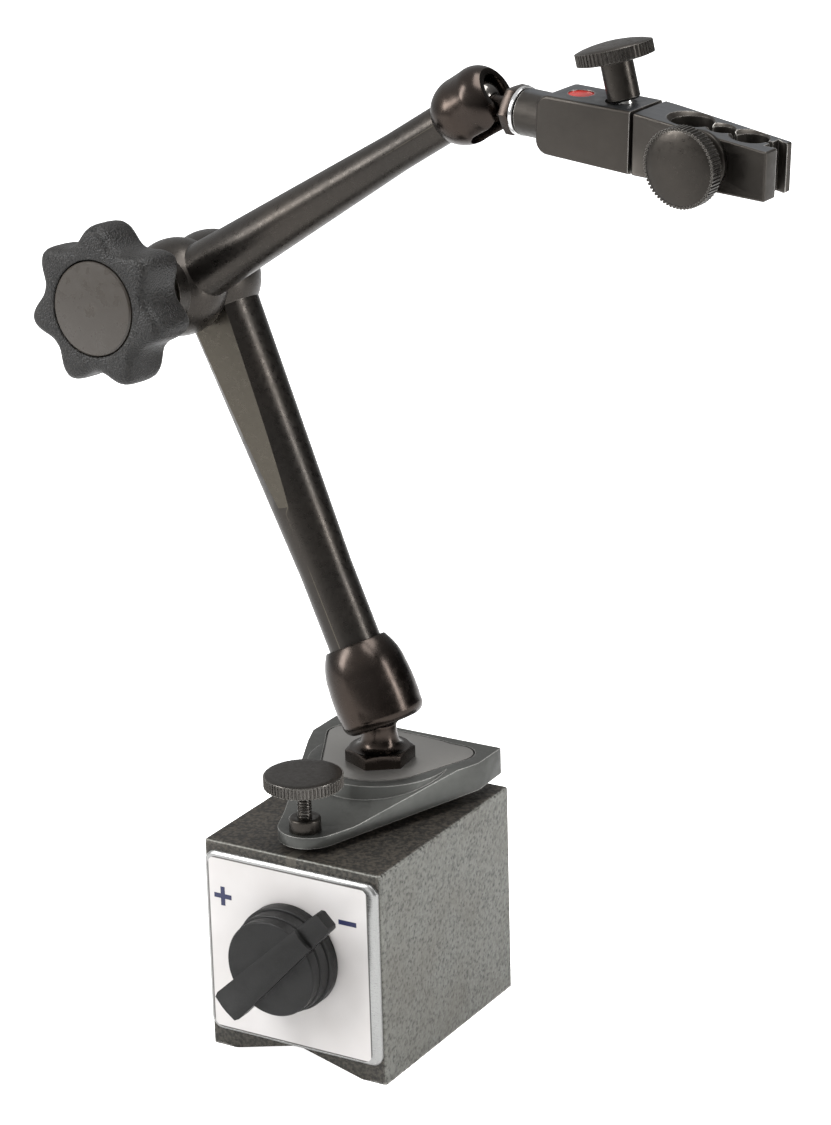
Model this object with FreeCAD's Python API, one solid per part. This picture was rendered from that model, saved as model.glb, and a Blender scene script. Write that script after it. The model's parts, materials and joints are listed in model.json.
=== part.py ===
"""Articulated measuring-stand holder on a switchable magnetic base.

A steel base block with a turning magnet carries a rocking fine-adjust plate.
A ball stud on the plate holds a two-part arm: two tapered tubes joined by one
clamp knob, each with a ball socket at its free end.  The upper ball stud ends
in a fine-adjust head with a split clamp for indicator stems.

Frame: origin at the middle of the magnetic face, X to the right seen from the
switch side, Y to the back, Z up.  All sizes are millimetres.
"""
import FreeCAD
import Part
import math
import os

os.makedirs("parts", exist_ok=True)
V = FreeCAD.Vector
X, Y, Z = V(1, 0, 0), V(0, 1, 0), V(0, 0, 1)

# ---- driving dimensions ----
RUNNING_GAP = 0.05          # radial clearance of a turning fit
BASE_WIDTH = 50.0
BASE_DEPTH = 62.0
BASE_HEIGHT = 55.0
MAGNET_AXIS_HEIGHT = 30.0   # bore axis above the magnetic face
ROTOR_RADIUS = 15.0
SEAM = 3.0                  # width of the non-magnetic strips between the poles

PLATE_TOP = 65.2            # flat top of the rocking plate
TONGUE_TOP = 59.6           # thin front tongue of the plate
BALL_STUD_Y = 11.1
BASE_SCREW_Y = -24.1
PLATE_PIVOT_Y = 20.0
PLATE_PIVOT_Z = 60.6

LOWER_BALL_HEIGHT = 79.8
LOWER_ARM_LENGTH = 112.8    # lower ball to clamp axis
UPPER_ARM_LENGTH = 100.2    # clamp axis to upper ball
CLAMP_YAW = -2.0            # clamp axis turned about Z, degrees
CLAMP_LEAN = 4.4            # clamp axis tipped up at the knob, degrees
LOWER_ARM_ANGLE = 116.6     # in the plane square to the clamp axis
UPPER_ARM_ANGLE = 31.9
HUB_RADIUS = 12.1
HUB_HALF = 7.15             # hub centre to the parting plane

HEAD_YAW = -6.5
HEAD_PITCH = -4.0
HEAD_ROLL = 2.0


# ---- helpers ----
def export(name, shape):
    """Write one node, made of one or more separate solids."""
    solids = shape.Solids
    shape = solids[0] if len(solids) == 1 else Part.makeCompound(solids)
    shape.exportStep(f"parts/{name}.step")


def cylinder(radius, start, end):
    """A cylinder between two points."""
    return Part.makeCylinder(radius, (end - start).Length, start, end - start)


def box(low, high):
    size = V(*high) - V(*low)
    return Part.makeBox(size.x, size.y, size.z, V(*low))


def prism(points, thickness, direction):
    """A polygon pushed along a direction."""
    loop = [V(*p) for p in points]
    face = Part.Face(Part.makePolygon(loop + [loop[0]]))
    return face.extrude(V(*direction) * thickness)


def turned(path):
    """A solid of revolution about Z.  Each entry is (radius, z), or a pair of
    them, the second being the end of an arc that passes the first."""
    edges, here = [], V(path[0][0], 0, path[0][1])
    for step in path[1:]:
        if isinstance(step[0], tuple):
            via, end = (V(p[0], 0, p[1]) for p in step)
            edges.append(Part.Arc(here, via, end).toShape())
        else:
            end = V(step[0], 0, step[1])
            edges.append(Part.makeLine(here, end))
        here = end
    edges.append(Part.makeLine(here, V(path[0][0], 0, path[0][1])))
    return Part.Face(Part.Wire(edges)).revolve(V(0, 0, 0), Z, 360)


def frame_at(origin, x_axis, z_axis):
    """A placement whose local X and Z lie along the given directions."""
    z_axis = V(z_axis).normalize()
    x_axis = (x_axis - z_axis * x_axis.dot(z_axis)).normalize()
    y_axis = z_axis.cross(x_axis)
    return FreeCAD.Placement(origin, FreeCAD.Rotation(x_axis, y_axis, z_axis, "ZXY"))


def placed(shape, placement):
    moved = shape.copy()
    moved.Placement = placement.multiply(moved.Placement)
    return moved


def rounded(shape, radius, keep):
    """Fillet the edges that keep() accepts."""
    return shape.makeFillet(radius, [e for e in shape.Edges if keep(e)])


def crown_end(radius, low, rise):
    """The end of a turned path: a spherical crown that meets the axis."""
    sphere = (radius ** 2 + rise ** 2) / (2 * rise)
    mid = low + rise - sphere + math.sqrt(sphere ** 2 - radius ** 2 / 4)
    return (radius / 2, mid), (0, low + rise)


def knurled_disc(radius, low, high, teeth, depth, crown=0.08):
    """A straight-knurled disc about Z, with a slightly crowned top."""
    rim = radius - depth
    body = turned([
        (0, low), (rim - 0.4, low), (rim, low + 0.4), (rim, high - 0.4),
        (rim - 0.5, high), crown_end(rim - 0.5, high, crown)])
    tooth = prism(
        [(rim - 0.3, -0.32, low + 0.4), (radius, -0.12, low + 0.4),
         (radius, 0.12, low + 0.4), (rim - 0.3, 0.32, low + 0.4)],
        high - low - 0.8, (0, 0, 1))
    ribs = []
    for i in range(teeth):
        rib = tooth.copy()
        rib.rotate(V(0, 0, 0), Z, 360.0 * i / teeth)
        ribs.append(rib)
    return body.fuse(ribs)


# ---- directions of the arm ----
yaw, lean = math.radians(CLAMP_YAW), math.radians(CLAMP_LEAN)
clamp_axis = V(math.sin(yaw) * math.cos(lean), -math.cos(yaw) * math.cos(lean), math.sin(lean))
plane_right = Z.cross(clamp_axis).normalize()
plane_up = clamp_axis.cross(plane_right)


def in_arm_plane(degrees):
    angle = math.radians(degrees)
    return plane_right * math.cos(angle) + plane_up * math.sin(angle)


lower_dir = in_arm_plane(LOWER_ARM_ANGLE)
upper_dir = in_arm_plane(UPPER_ARM_ANGLE)
lower_ball_at = V(0, BALL_STUD_Y, LOWER_BALL_HEIGHT)
lower_hub_at = lower_ball_at + lower_dir * LOWER_ARM_LENGTH
upper_hub_at = lower_hub_at + clamp_axis * (2 * HUB_HALF)
upper_ball_at = upper_hub_at + upper_dir * UPPER_ARM_LENGTH

head_yaw, head_pitch = math.radians(HEAD_YAW), math.radians(HEAD_PITCH)
head_dir = V(math.cos(head_yaw) * math.cos(head_pitch),
             math.sin(head_yaw) * math.cos(head_pitch), math.sin(head_pitch))
level_back = Z.cross(head_dir).normalize()
head_up = FreeCAD.Rotation(head_dir, HEAD_ROLL).multVec(head_dir.cross(level_back))

# ---- magnetic base: two steel poles with non-magnetic strips between them ----
half_w, half_d = BASE_WIDTH / 2, BASE_DEPTH / 2
FOOT_INNER = 18.2           # the V between the feet starts here
V_DEPTH = 4.8
PLUG_DEPTH = 4.0

block = box((-half_w, -half_d, 0), (half_w, half_d, BASE_HEIGHT))
block = rounded(block, 0.7, lambda e: e.BoundBox.ZMax > 1)
vee = prism([(-FOOT_INNER, -half_d - 1, -0.01), (0, -half_d - 1, V_DEPTH),
             (FOOT_INNER, -half_d - 1, -0.01)], BASE_DEPTH + 2, (0, 1, 0))
bore = cylinder(ROTOR_RADIUS + RUNNING_GAP, V(0, -half_d - 1, MAGNET_AXIS_HEIGHT),
                V(0, half_d + 1, MAGNET_AXIS_HEIGHT))

PLATE_SCREW_X, PLATE_SCREW_Z = 19.5, 18.5
plate_screw_places = [(sx * PLATE_SCREW_X, MAGNET_AXIS_HEIGHT + sz * PLATE_SCREW_Z)
                      for sx in (-1, 1) for sz in (-1, 1)]
plate_screw_holes = [cylinder(1.5, V(x, -half_d - 2, z), V(x, -half_d + 8, z))
                     for x, z in plate_screw_places]

SADDLE_SCREW_X = 9.0
saddle_screw_holes = [cylinder(1.5, V(s * SADDLE_SCREW_X, PLATE_PIVOT_Y, BASE_HEIGHT - 7),
                               V(s * SADDLE_SCREW_X, PLATE_PIVOT_Y, BASE_HEIGHT + 3))
                      for s in (-1, 1)]

body = block.cut([vee, bore] + plate_screw_holes + saddle_screw_holes)
half_seam = SEAM / 2
export("pole_block_left", body.common(box((-30, -40, -1), (-half_seam, 40, 60))))
export("pole_block_right", body.common(box((half_seam, -40, -1), (30, 40, 60))))
export("pole_separators", body.common(box((-half_seam, -40, -1), (half_seam, 40, 60))))

plug_front = half_d - PLUG_DEPTH
rear_plug = cylinder(ROTOR_RADIUS + RUNNING_GAP, V(0, plug_front, MAGNET_AXIS_HEIGHT),
                     V(0, half_d, MAGNET_AXIS_HEIGHT))
rear_plug = rear_plug.makeChamfer(0.5, [e for e in rear_plug.Edges if e.BoundBox.YMin > half_d - 0.1])
STOP_RADIUS, STOP_PIN_R = 10.0, 1.5
stop_at = V(0, plug_front, MAGNET_AXIS_HEIGHT + STOP_RADIUS)
stop_pin = cylinder(STOP_PIN_R, stop_at - Y * 2.6, stop_at + Y * 2.0)
export("rear_plug", rear_plug.cut(stop_pin))
export("switch_stop_pin", stop_pin)

# ---- front plate, its hidden screws and the label ----
FACE_Y = -half_d
PLATE_THICK = 1.5
PLATE_LOW, PLATE_HIGH = V(-24.3, 0, 5.0), V(24.6, 0, 52.8)
LABEL_LOW, LABEL_HIGH = V(-23.4, 0, 5.8), V(22.2, 0, 51.6)
LABEL_SINK = 0.25


def face_panel(low, high, radius, back, front):
    panel = box((low.x, front, low.z), (high.x, back, high.z))
    return rounded(panel, radius, lambda e: e.BoundBox.YLength > abs(back - front) / 2)


panel_front = FACE_Y - PLATE_THICK
front_plate = face_panel(PLATE_LOW, PLATE_HIGH, 3.0, FACE_Y, panel_front)
front_plate = front_plate.makeChamfer(
    0.55, [e for e in front_plate.Edges if e.BoundBox.YMax < panel_front + 0.01])
label = face_panel(LABEL_LOW, LABEL_HIGH, 2.6, panel_front + LABEL_SINK, panel_front)
spindle_hole = cylinder(4.0 + RUNNING_GAP, V(0, FACE_Y + 1, MAGNET_AXIS_HEIGHT),
                        V(0, FACE_Y - 3, MAGNET_AXIS_HEIGHT))
screw_heads = [Part.makeCone(1.5, 2.6, 1.0, V(x, FACE_Y, z), V(0, -1, 0))
               for x, z in plate_screw_places]
screw_caps = [cylinder(2.6, V(x, FACE_Y - 1.0, z), V(x, panel_front + LABEL_SINK, z))
              for x, z in plate_screw_places]
screw_shanks = [cylinder(1.5, V(x, FACE_Y, z), V(x, FACE_Y + 7.5, z))
                for x, z in plate_screw_places]
export("front_plate", front_plate.cut([label, spindle_hole] + screw_heads + screw_caps))
export("front_label", label.cut(cylinder(6, V(0, FACE_Y, MAGNET_AXIS_HEIGHT),
                                         V(0, FACE_Y - 3, MAGNET_AXIS_HEIGHT))))
export("front_plate_screws", Part.makeCompound(
    [cone.fuse([cap, shank]).removeSplitter()
     for cone, cap, shank in zip(screw_heads, screw_caps, screw_shanks)]))

# ---- magnet rotor: a bar magnet between two steel segments, on a spindle ----
MAGNET_HALF = 4.5
ROTOR_FRONT, ROTOR_BACK = FACE_Y + 0.4, plug_front - 0.3
rotor = cylinder(ROTOR_RADIUS, V(0, ROTOR_FRONT, MAGNET_AXIS_HEIGHT),
                 V(0, ROTOR_BACK, MAGNET_AXIS_HEIGHT))
track = cylinder(STOP_RADIUS + STOP_PIN_R + 0.3, V(0, ROTOR_BACK - 3.2, MAGNET_AXIS_HEIGHT),
                 V(0, ROTOR_BACK + 1, MAGNET_AXIS_HEIGHT))
track = track.cut(cylinder(STOP_RADIUS - STOP_PIN_R - 0.3,
                           V(0, ROTOR_BACK - 4, MAGNET_AXIS_HEIGHT),
                           V(0, ROTOR_BACK + 1, MAGNET_AXIS_HEIGHT)))
fan = [(0, ROTOR_BACK - 4, MAGNET_AXIS_HEIGHT)]
for degrees in (-11, 15, 45, 75, 101):
    angle = math.radians(degrees)
    fan.append((25 * math.cos(angle), ROTOR_BACK - 4, MAGNET_AXIS_HEIGHT + 25 * math.sin(angle)))
track = track.common(prism(fan, 6, (0, 1, 0)))
spindle_seat = cylinder(4.0, V(0, ROTOR_FRONT - 1, MAGNET_AXIS_HEIGHT),
                        V(0, ROTOR_FRONT + 9, MAGNET_AXIS_HEIGHT))
magnet_slab = box((-20, -40, MAGNET_AXIS_HEIGHT - MAGNET_HALF),
                  (20, 40, MAGNET_AXIS_HEIGHT + MAGNET_HALF))
rotor = rotor.cut([track, spindle_seat])
export("bar_magnet", rotor.common(magnet_slab))
export("rotor_pole_segments", rotor.cut(magnet_slab))

KNOB_BACK = panel_front - 0.25
spindle = cylinder(4.0, V(0, KNOB_BACK - 6, MAGNET_AXIS_HEIGHT),
                   V(0, ROTOR_FRONT + 9, MAGNET_AXIS_HEIGHT))
spindle_flat = box((-5, KNOB_BACK - 7, MAGNET_AXIS_HEIGHT + 2.9),
                   (5, KNOB_BACK - 0.5, MAGNET_AXIS_HEIGHT + 5))
spindle = spindle.cut(spindle_flat)
export("switch_spindle", spindle)

# ---- switch knob: stepped disc with a lever bar across it ----
knob_frame = frame_at(V(0, KNOB_BACK, MAGNET_AXIS_HEIGHT), V(1, 0, 1), V(0, -1, 0))
KNOB_FRONT = 9.2
knob_disc = turned([
    (0, 0), (13.4, 0), (13.4, 2.9), (13.1, 3.2), (12.7, 3.2), (12.7, 6.0), (12.4, 6.3),
    (12.2, 6.3), (12.2, KNOB_FRONT - 0.3), (11.9, KNOB_FRONT), (0, KNOB_FRONT)])
LEVER_TOP = 11.6
NOTCH = 15.2
lever = prism([(-17.4, -3.7, 6.8), (-16.0, -4.2, 6.8), (22.2, -2.7, 6.8), (22.9, -2.0, 6.8),
               (22.9, 2.0, 6.8), (22.2, 2.7, 6.8), (-16.0, 4.2, 6.8), (-17.4, 3.7, 6.8)],
              LEVER_TOP - 6.8, (0, 0, 1))
roof = prism([(-20, -5, LEVER_TOP - 0.55), (-20, 0, LEVER_TOP + 0.1), (-20, 5, LEVER_TOP - 0.55),
              (-20, 5, 0), (-20, -5, 0)], 45, (1, 0, 0))
notch = box((NOTCH, -6, LEVER_TOP - 1.5), (25, 6, LEVER_TOP + 1))
lever = lever.common(roof).cut(notch)
switch_knob = placed(knob_disc.fuse(lever).removeSplitter(), knob_frame)
export("switch_knob", switch_knob.cut(spindle))

# ---- rocking plate: pivoted at the back, lifted by the front thumbscrew ----
NOSE_RADIUS, NOSE_X, NOSE_Y = 8.0, -0.3, -21.2
FLANK_RIGHT, FLANK_LEFT, FLANK_Y, REAR_Y = 23.3, -25.0, 19.4, 30.6


def flank_touch(flank_x):
    """Where the straight flank leaves the nose circle."""
    nose = V(NOSE_X, NOSE_Y, 0)
    flank = V(flank_x, FLANK_Y, 0) - nose
    side = 1 if flank_x > 0 else -1
    angle = math.atan2(flank.y, flank.x) - side * math.acos(NOSE_RADIUS / flank.Length)
    return nose + V(math.cos(angle), math.sin(angle), 0) * NOSE_RADIUS


def outline(height):
    right, left = flank_touch(FLANK_RIGHT), flank_touch(FLANK_LEFT)
    corners = [right, V(FLANK_RIGHT, FLANK_Y, 0), V(FLANK_RIGHT, REAR_Y, 0),
               V(FLANK_LEFT, REAR_Y, 0), V(FLANK_LEFT, FLANK_Y, 0), left]
    edges = [Part.makeLine(a, b) for a, b in zip(corners, corners[1:])]
    edges.append(Part.Arc(left, V(NOSE_X, NOSE_Y - NOSE_RADIUS, 0), right).toShape())
    return Part.Face(Part.Wire(edges)).extrude(Z * height)


def insert_face(grow):
    """Rounded three-sided outline of the inlaid pad, grown by a margin."""
    corners = [(V(0, BALL_STUD_Y, 0), 14.7), (V(14.4, 22.2, 0), 5.5), (V(-16.2, 22.2, 0), 5.5)]
    discs = [Part.makeCylinder(r + grow, 1, c) for c, r in corners]
    loop = []
    for i, (c, r) in enumerate(corners):
        n, rn = corners[(i + 1) % 3]
        across = n - c
        turn = math.acos((r - rn) / across.Length)
        base_angle = math.atan2(across.y, across.x)
        side = V(math.cos(base_angle - turn), math.sin(base_angle - turn), 0)
        loop += [c + side * (r + grow), n + side * (rn + grow)]
    shape = Part.Face(Part.makePolygon(loop + [loop[0]])).extrude(Z)
    shape = shape.fuse(discs)
    bow = Part.makeCylinder(60 + grow, 1, V(-0.9, -31.1, 0))
    shape = shape.fuse(bow.common(box((-16.2, 18, 0), (14.4, 40, 1))))
    return shape.removeSplitter()


plate = outline(20)
plate.translate(Z * 50)
profile = prism([(-30, -31, 56.6), (-30, 32, 58.4), (-30, 32, PLATE_TOP), (-30, 11, PLATE_TOP),
                 (-30, -7.0, PLATE_TOP), (-30, -31, PLATE_TOP)], 60, (1, 0, 0))
plate = plate.common(profile)
floor_cut = prism([(-30, -31, TONGUE_TOP), (-30, -17, TONGUE_TOP), (-30, 13, PLATE_TOP),
                   (-30, 13, 70), (-30, -31, 70)], 60, (1, 0, 0))
platform = Part.makeCylinder(18.2, 30, V(0, BALL_STUD_Y, 50))
plate = plate.cut(floor_cut.cut(platform))
plate = plate.removeSplitter()

pad_pocket = insert_face(0.0)
pad_pocket.translate(Z * (PLATE_TOP - 1))
pad = insert_face(-0.45)
pad.translate(Z * (PLATE_TOP - 1))
stud_hole = cylinder(4.0, V(0, BALL_STUD_Y, 50), V(0, BALL_STUD_Y, 70))

saddle_room = box((-14.5, PLATE_PIVOT_Y - 4.5, 50), (14.5, PLATE_PIVOT_Y + 4.5, 63.6))
PIVOT_R = 1.5
pivot_a = V(FLANK_LEFT + 0.3, PLATE_PIVOT_Y, PLATE_PIVOT_Z)
pivot_b = V(19, PLATE_PIVOT_Y, PLATE_PIVOT_Z)
pivot_pin = cylinder(PIVOT_R, pivot_a, pivot_b)
pin_hole = cylinder(PIVOT_R, pivot_a - X * 2, pivot_b)
bush_hole = cylinder(2.6, V(0, BASE_SCREW_Y, 50), V(0, BASE_SCREW_Y, 66))
SPRING_X, SPRING_Y, SPRING_TOP = 12.0, 27.6, 62.0
spring_rooms = [cylinder(2.0, V(s * SPRING_X, SPRING_Y, 50), V(s * SPRING_X, SPRING_Y, SPRING_TOP))
                for s in (-1, 1)]
plate = plate.cut([pad_pocket, stud_hole, saddle_room, pin_hole, bush_hole] + spring_rooms)
export("rocker_plate", plate)
export("plate_insert", pad.cut(stud_hole))
export("plate_pivot_pin", pivot_pin)

saddle = box((-14, PLATE_PIVOT_Y - 3.6, BASE_HEIGHT), (14, PLATE_PIVOT_Y + 3.6, 62.4))
saddle = rounded(saddle, 1.6, lambda e: e.BoundBox.ZMin > 62.3 and e.BoundBox.XLength > 20)
saddle_heads = [cylinder(2.75, V(s * SADDLE_SCREW_X, PLATE_PIVOT_Y, 56.0),
                         V(s * SADDLE_SCREW_X, PLATE_PIVOT_Y, 64)) for s in (-1, 1)]
saddle_bore = cylinder(PIVOT_R + RUNNING_GAP, pivot_a - X * 2, pivot_b + X * 2)
saddle_clear = [cylinder(1.5, V(s * SADDLE_SCREW_X, PLATE_PIVOT_Y, 54),
                         V(s * SADDLE_SCREW_X, PLATE_PIVOT_Y, 57)) for s in (-1, 1)]
export("pivot_saddle", saddle.cut([saddle_bore] + saddle_heads + saddle_clear))
saddle_screws = []
for side in (-1, 1):
    at = V(side * SADDLE_SCREW_X, PLATE_PIVOT_Y, 0)
    screw = cylinder(2.6, at + Z * 56.0, at + Z * 58.4)
    screw = screw.fuse(cylinder(1.5, at + Z * 48.5, at + Z * 56.0))
    socket = Part.makeCylinder(1.2, 1.6, at + Z * 57.0)
    saddle_screws.append(screw.cut(socket))
export("saddle_screws", Part.makeCompound(saddle_screws))

WIRE_R, COIL_R = 0.3, 1.45
springs = []
for side in (-1, 1):
    helix = Part.makeHelix(1.35, SPRING_TOP - BASE_HEIGHT - 2 * WIRE_R - 0.1, COIL_R)
    wire = Part.Wire(Part.makeCircle(WIRE_R, V(COIL_R, 0, 0), Y))
    coil = Part.Wire(helix.Edges).makePipeShell([wire], True, True)
    coil.translate(V(side * SPRING_X, SPRING_Y, BASE_HEIGHT + WIRE_R + 0.05))
    springs.append(coil)
export("plate_return_springs", Part.makeCompound(springs))

# ---- front thumbscrew of the base ----
screw_at = V(0, BASE_SCREW_Y, 0)
bush = turned([(1.75 + RUNNING_GAP, 56.6), (2.6, 56.6), (2.6, TONGUE_TOP), (3.9, TONGUE_TOP),
               (3.9, TONGUE_TOP + 3.1), (3.5, TONGUE_TOP + 3.5), (1.75 + RUNNING_GAP, TONGUE_TOP + 3.5)])
bush.translate(screw_at)
export("thumbscrew_bush", bush)
SCREW_DISC_LOW, SCREW_DISC_HIGH = 71.0, 74.2
base_shank = turned([(0, BASE_HEIGHT + 0.02), (1.2, BASE_HEIGHT + 0.02), (1.75, 55.6),
                     (1.75, SCREW_DISC_LOW + 2), (0, SCREW_DISC_LOW + 2)])
base_shank.translate(screw_at)
export("base_screw_shank", base_shank)
base_head = knurled_disc(9.8, SCREW_DISC_LOW, SCREW_DISC_HIGH, 54, 0.35)
base_head = base_head.cut(Part.makeCylinder(1.75 + RUNNING_GAP, 2.1, V(0, 0, SCREW_DISC_LOW)))
base_head.translate(screw_at)
export("base_screw_head", base_head)

# ---- lower ball stud: hexagon, waisted neck and a ball turning on its spigot ----
LOWER_BALL_R, LOWER_NECK_R = 6.5, 4.4
stud_at = V(0, BALL_STUD_Y, 0)
neck_top = LOWER_BALL_HEIGHT - math.sqrt(LOWER_BALL_R ** 2 - LOWER_NECK_R ** 2)
hexagon = prism([(8.75 * math.cos(math.radians(60 * i + 36)),
                  8.75 * math.sin(math.radians(60 * i + 36)), PLATE_TOP) for i in range(6)],
                6, (0, 0, 1))
dome = turned([(0, PLATE_TOP - 1), (9.2, PLATE_TOP - 1), (9.2, PLATE_TOP + 2.6),
               (7.5, PLATE_TOP + 3.5), ((6.0, PLATE_TOP + 3.8), (5.0, PLATE_TOP + 4.7)),
               ((4.45, PLATE_TOP + 6.6), (LOWER_NECK_R, neck_top)), (2.4, neck_top),
               (2.4, LOWER_BALL_HEIGHT + 3.4), (0, LOWER_BALL_HEIGHT + 3.4)])
collar = dome.cut(box((-20, -20, PLATE_TOP - 2), (20, 20, PLATE_TOP + 3.45)))
hex_part = hexagon.common(dome)
stud_shank = cylinder(4.0, V(0, 0, 59.2), V(0, 0, PLATE_TOP))
ball_stud = collar.fuse([hex_part, stud_shank]).removeSplitter()
ball_stud.translate(stud_at)
export("lower_ball_stud", ball_stud)


def ball(radius, neck_radius, spigot_radius, spigot_end):
    """A ball about the origin, cut flat where its neck meets it at -Z."""
    flat = -math.sqrt(radius ** 2 - neck_radius ** 2) + 0.06
    cut = box((-radius, -radius, -2 * radius), (radius, radius, flat))
    hole = Part.makeCylinder(spigot_radius + RUNNING_GAP, spigot_end + 0.2 - flat, V(0, 0, flat))
    return Part.makeSphere(radius).cut([cut, hole])


lower_ball = ball(LOWER_BALL_R, LOWER_NECK_R, 2.4, 3.4)
lower_ball.translate(lower_ball_at)
export("lower_ball", lower_ball)


# ---- ball sockets, thrust cups and push rods ----
def ball_socket(skin, ball_radius, mouth_radius, tube_radius, spigot_depth, slot_half, slot_from):
    """A socket about a ball at the origin, with its mouth at +Z and its arm at -Z.
    A slot on the +X side lets the neck swing square to the arm."""
    shell = turned([(0, skin[0][1])] + skin + [(0, skin[-1][-1][1])])
    gap = 0.15
    cavity = Part.makeSphere(ball_radius + gap)
    mouth = Part.makeCylinder(mouth_radius, 20)
    back = skin[0][1]
    bore_in = Part.makeCylinder(tube_radius, spigot_depth, V(0, 0, back))
    cup_bore = Part.makeCylinder(ball_radius * 0.78, -back, V(0, 0, back))
    slot = Part.makeCylinder(slot_half, 20, V(0, 0, slot_from), X)
    slot = slot.fuse(Part.makeBox(20, 2 * slot_half, 20, V(0, -slot_half, slot_from)))
    return shell.cut([cavity, mouth, bore_in, cup_bore, slot])


def thrust_cup(ball_radius, back, rod_radius):
    """A plunger with a spherical face that the push rod drives onto the ball."""
    radius = ball_radius * 0.78 - RUNNING_GAP
    cup = Part.makeCylinder(radius, -back - 1.5, V(0, 0, back))
    return cup.cut([Part.makeSphere(ball_radius + 0.12), Part.makeCylinder(rod_radius, 2, V(0, 0, back))])


lower_skin = [(7.7, -16.0), ((9.45, -12.4), (10.3, -8.0)), ((10.6, -4.0), (10.6, 0.0)),
              (10.45, 2.4), ((9.75, 4.5), (7.9, 5.4))]
# the slot opens where the stud's neck leaves the socket
neck_side_lower = (Z * -1) - lower_dir * (Z * -1).dot(lower_dir)
lower_frame = frame_at(lower_ball_at, neck_side_lower, lower_dir * -1)
LOWER_SPIGOT_R, LOWER_ROD_R = 5.6, 2.4
export("lower_socket", placed(
    ball_socket(lower_skin, LOWER_BALL_R, 5.6, LOWER_SPIGOT_R, 6.8, LOWER_NECK_R + 0.7, 0.9), lower_frame))
export("lower_thrust_cup", placed(thrust_cup(LOWER_BALL_R, -8.9, LOWER_ROD_R), lower_frame))

upper_skin = [(5.0, -10.8), ((6.85, -8.6), (8.0, -3.6)), (8.1, 0.0), ((7.45, 3.5), (5.8, 5.3))]
UPPER_BALL_R, UPPER_NECK_R = 5.0, 2.5
UPPER_SPIGOT_R, UPPER_ROD_R = 3.9, 1.6
neck_side_upper = head_dir - upper_dir * head_dir.dot(upper_dir)
upper_frame = frame_at(upper_ball_at, neck_side_upper, upper_dir)
export("upper_socket", placed(
    ball_socket(upper_skin, UPPER_BALL_R, 4.3, UPPER_SPIGOT_R, 3.9, UPPER_NECK_R + 0.5, -2.7), upper_frame))
export("upper_thrust_cup", placed(thrust_cup(UPPER_BALL_R, -6.6, UPPER_ROD_R), upper_frame))

head_frame = frame_at(upper_ball_at, head_dir, head_up)
export("upper_ball", placed(ball(UPPER_BALL_R, UPPER_NECK_R, 1.5, 2.6),
                            frame_at(upper_ball_at, head_up, head_dir * -1)))


# ---- arm tubes with their half hubs ----
def arm_tube(length, root_radius, tube_radius, taper_end, socket_back, spigot, rod_radius):
    """A tapered tube about +Z from a truncated ball hub at the origin.
    The clamp axis is local Y, and the flat parting face is at +Y."""
    end = length + socket_back
    cone = Part.makeCone(root_radius, tube_radius, taper_end, V(0, 0, 0), Z)
    tube = Part.makeCylinder(tube_radius, end - taper_end, V(0, 0, taper_end))
    spigot_end = Part.makeCylinder(spigot[0], spigot[1], V(0, 0, end))
    whole = Part.makeSphere(HUB_RADIUS).fuse([cone, tube, spigot_end])
    flat = box((-40, HUB_HALF - FACE_GAP, -40), (40, 40, length + 40))
    rod_bore = Part.makeCylinder(rod_radius + 0.3, length, V(0, 0, 2))
    return whole.cut([flat, rod_bore])


FACE_GAP = 0.03             # half the film between the two parting faces
STUD_R = 4.0
lower_arm_frame = frame_at(lower_hub_at, clamp_axis.cross(lower_dir * -1), lower_dir * -1)
upper_arm_frame = frame_at(upper_hub_at, (clamp_axis * -1).cross(upper_dir), upper_dir)
lower_arm = placed(arm_tube(LOWER_ARM_LENGTH, 9.35, 6.65, 77.0, -16.0,
                            (LOWER_SPIGOT_R, 6.7), LOWER_ROD_R), lower_arm_frame)
upper_arm = placed(arm_tube(UPPER_ARM_LENGTH, 7.35, 4.72, 74.0, -10.8,
                            (UPPER_SPIGOT_R, 3.8), UPPER_ROD_R), upper_arm_frame)


def on_clamp(distance):
    """A point on the clamp axis, measured from the parting plane to the front."""
    return lower_hub_at + clamp_axis * (HUB_HALF + distance)


BOSS_FRONT = 19.0
boss = cylinder(9.4, on_clamp(10), on_clamp(BOSS_FRONT))
stud_bore = cylinder(STUD_R + RUNNING_GAP, on_clamp(-30), on_clamp(30))
lower_stud_bore = cylinder(STUD_R, on_clamp(-15.5), on_clamp(2))
lower_head_seat = cylinder(6.5, on_clamp(-25), on_clamp(-15.5))
lower_arm = lower_arm.cut([lower_stud_bore, lower_head_seat])
upper_arm = upper_arm.fuse(boss).cut(stud_bore)
export("lower_arm", lower_arm)
export("upper_arm", upper_arm.removeSplitter())

clamp_stud = cylinder(6.4, on_clamp(-18.4), on_clamp(-15.5)).fuse(
    cylinder(STUD_R, on_clamp(-15.5), on_clamp(33.0)))
export("clamp_stud", clamp_stud.removeSplitter())

lower_rod_start = lower_hub_at - lower_dir * (STUD_R + 0.1)
lower_rod = cylinder(LOWER_ROD_R, lower_rod_start + lower_dir * -0.1,
                     lower_ball_at + lower_dir * 7.4)
export("lower_push_rod", lower_rod.cut(cylinder(STUD_R + 0.1, on_clamp(-20), on_clamp(5))))
upper_rod = cylinder(UPPER_ROD_R, upper_hub_at + upper_dir * (STUD_R + 0.3),
                     upper_ball_at - upper_dir * 5.2)
upper_rod = upper_rod.cut(cylinder(STUD_R + 0.1, on_clamp(-2), on_clamp(20)))
export("upper_push_rod", upper_rod)

# ---- clamp knob: seven lobes, a threaded insert and a smooth cap ----
WASHER_THICK = 1.2
washer_back = BOSS_FRONT + 0.05
washer_front = washer_back + WASHER_THICK
washer = cylinder(8.6, on_clamp(washer_back), on_clamp(washer_front))
export("clamp_washer", washer.cut(stud_bore))

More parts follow.
